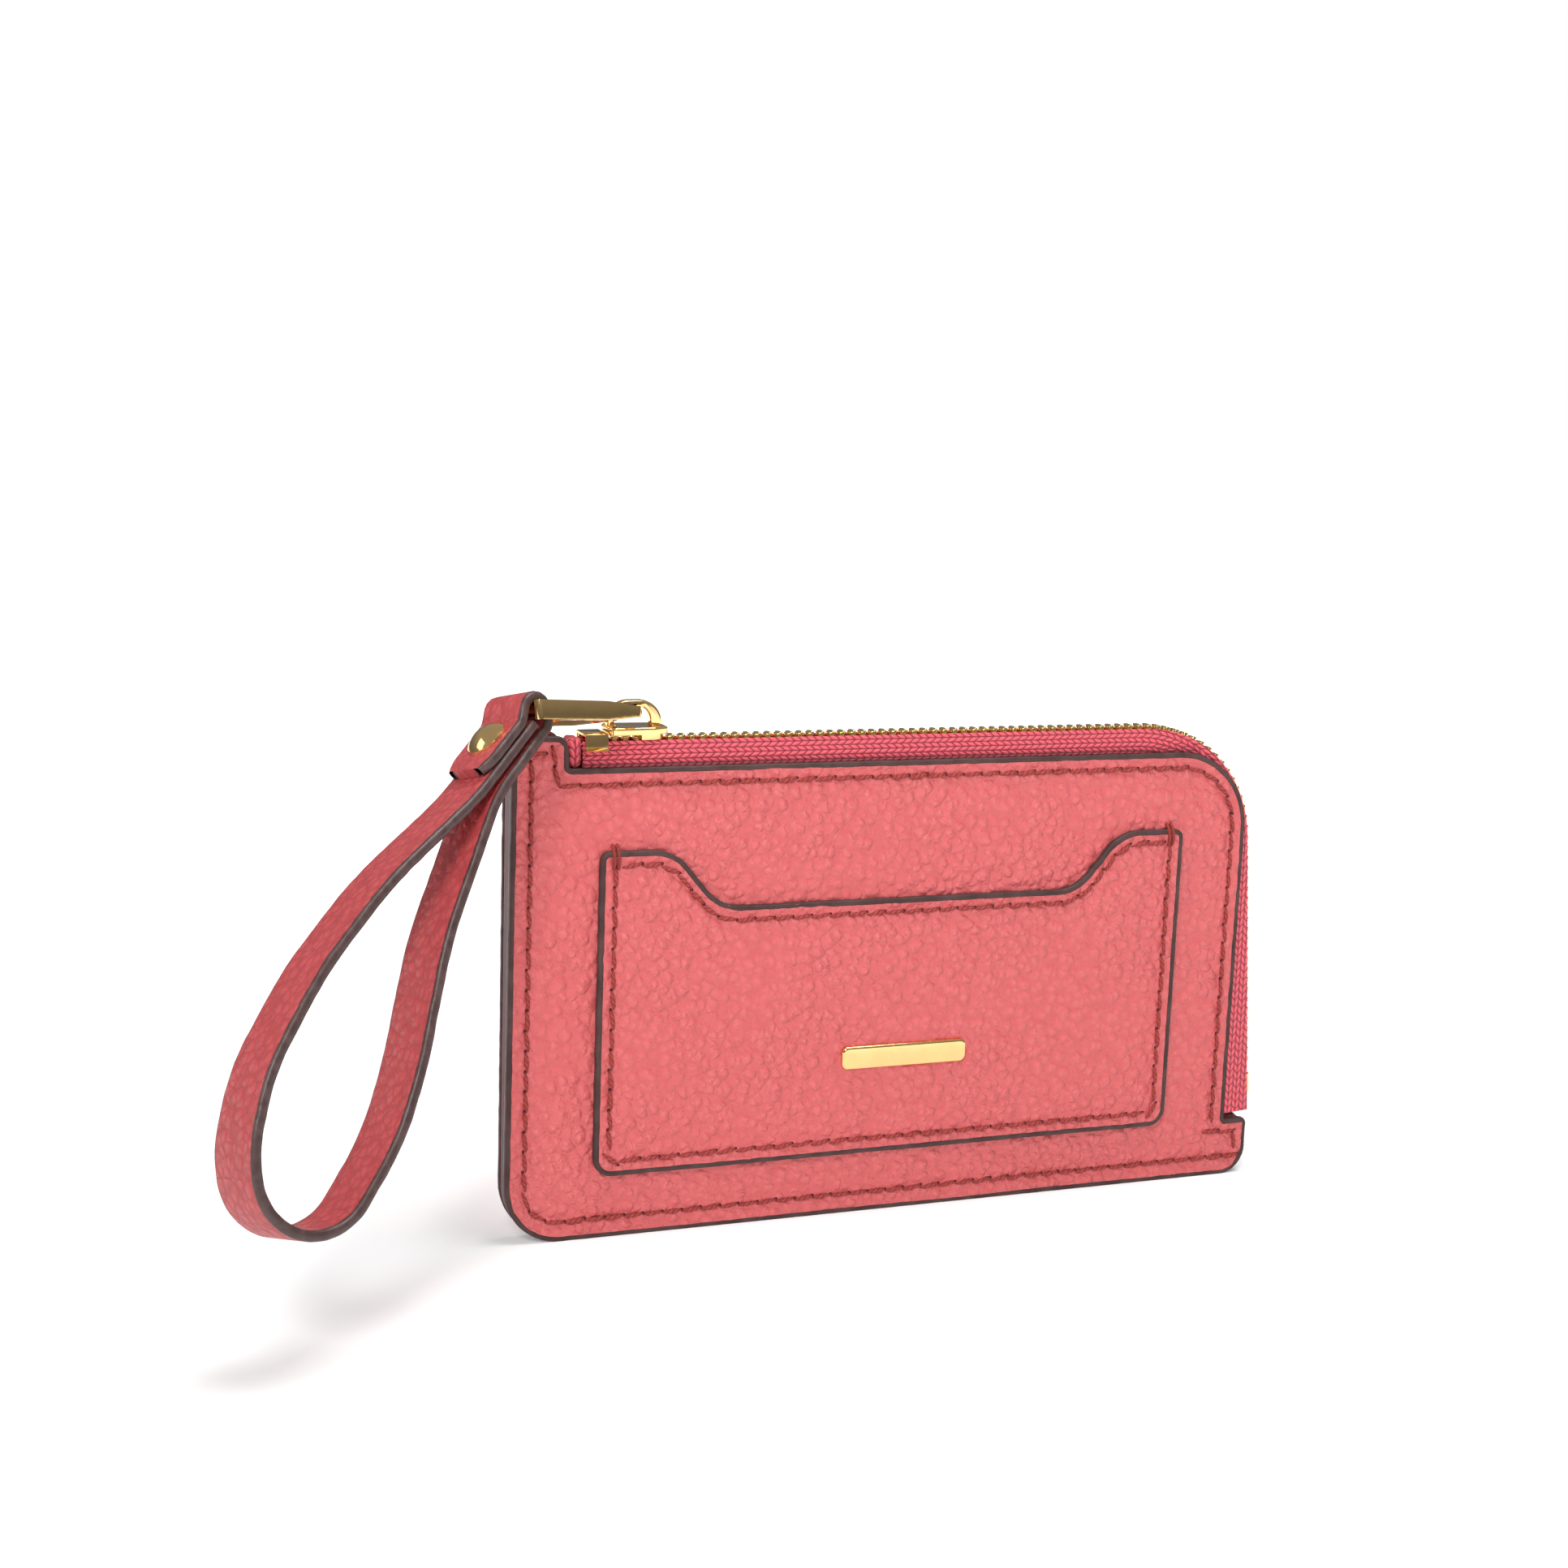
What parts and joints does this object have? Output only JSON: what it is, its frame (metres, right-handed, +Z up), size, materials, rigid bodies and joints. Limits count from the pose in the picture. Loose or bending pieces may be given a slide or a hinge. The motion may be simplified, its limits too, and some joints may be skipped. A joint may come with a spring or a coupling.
{
  "type": "wristlet wallet",
  "caption": "Slim zipped wristlet wallet in pebbled coral leather with a card pocket, gold zip hardware and a leather wrist strap.",
  "frame": {"origin": "middle of the wallet's bottom edge, between the front and back leathers, below the pocket's centre", "axes": "+X right along the wallet's length, +Y from the front to the back, +Z up towards the zip's top run"},
  "size_m": [0.1991, 0.0561, 0.0961],
  "materials": {
    "panel_leather": "pebbled",
    "strap_leather": "pebbled",
    "lining_cloth": "plain weave",
    "stiffener_board": "matte",
    "edge_stay_leather": "painted edge",
    "thread": "twisted",
    "zip_tape": "herringbone weave",
    "gold_teeth": "polished",
    "gold_hardware": "polished"
  },
  "bodies": {
    "root": {"front_panel": "panel_leather", "back_panel": "panel_leather", "card_pocket": "panel_leather", "front_lining": "lining_cloth", "back_lining": "lining_cloth", "pocket_lining": "lining_cloth", "front_board": "stiffener_board", "back_board": "stiffener_board", "edge_stay": "edge_stay_leather", "front_stitching": "thread", "back_stitching": "thread", "pocket_stitching": "thread", "lip_stitching": "thread", "bar_tacks": "thread", "front_tape": "zip_tape", "back_tape": "zip_tape", "tape_end_fold": "zip_tape", "front_teeth": "gold_teeth", "back_teeth": "gold_teeth", "end_clip": "gold_hardware", "bottom_stop": "gold_hardware", "badge": "gold_hardware"},
    "slider": {"slider_top": "gold_hardware", "slider_base": "gold_hardware", "slider_crown": "gold_hardware"},
    "puller": {"puller_frame": "gold_hardware"},
    "strap": {"strap_outer": "strap_leather", "strap_inner": "strap_leather", "rivet_cap": "gold_hardware", "rivet_post": "gold_hardware"}
  },
  "joints": [
    {"name": "zip_slide", "type": "slide", "parent": "root", "child": "slider", "axis": [1, 0, 0], "range_m": [0, 0.088]},
    {"name": "puller_swing", "type": "hinge", "parent": "slider", "child": "puller", "pos_m": [-0.05073, 0.00036, 0.09011], "axis": [-0.3994, 0.8887, -0.225], "range_deg": [0, 150]},
    {"name": "strap_swing", "type": "hinge", "parent": "puller", "child": "strap", "pos_m": [-0.07144, -0.00852, 0.0918], "axis": [-0.3994, 0.8887, -0.225], "range_deg": [-40, 120]}
  ]
}
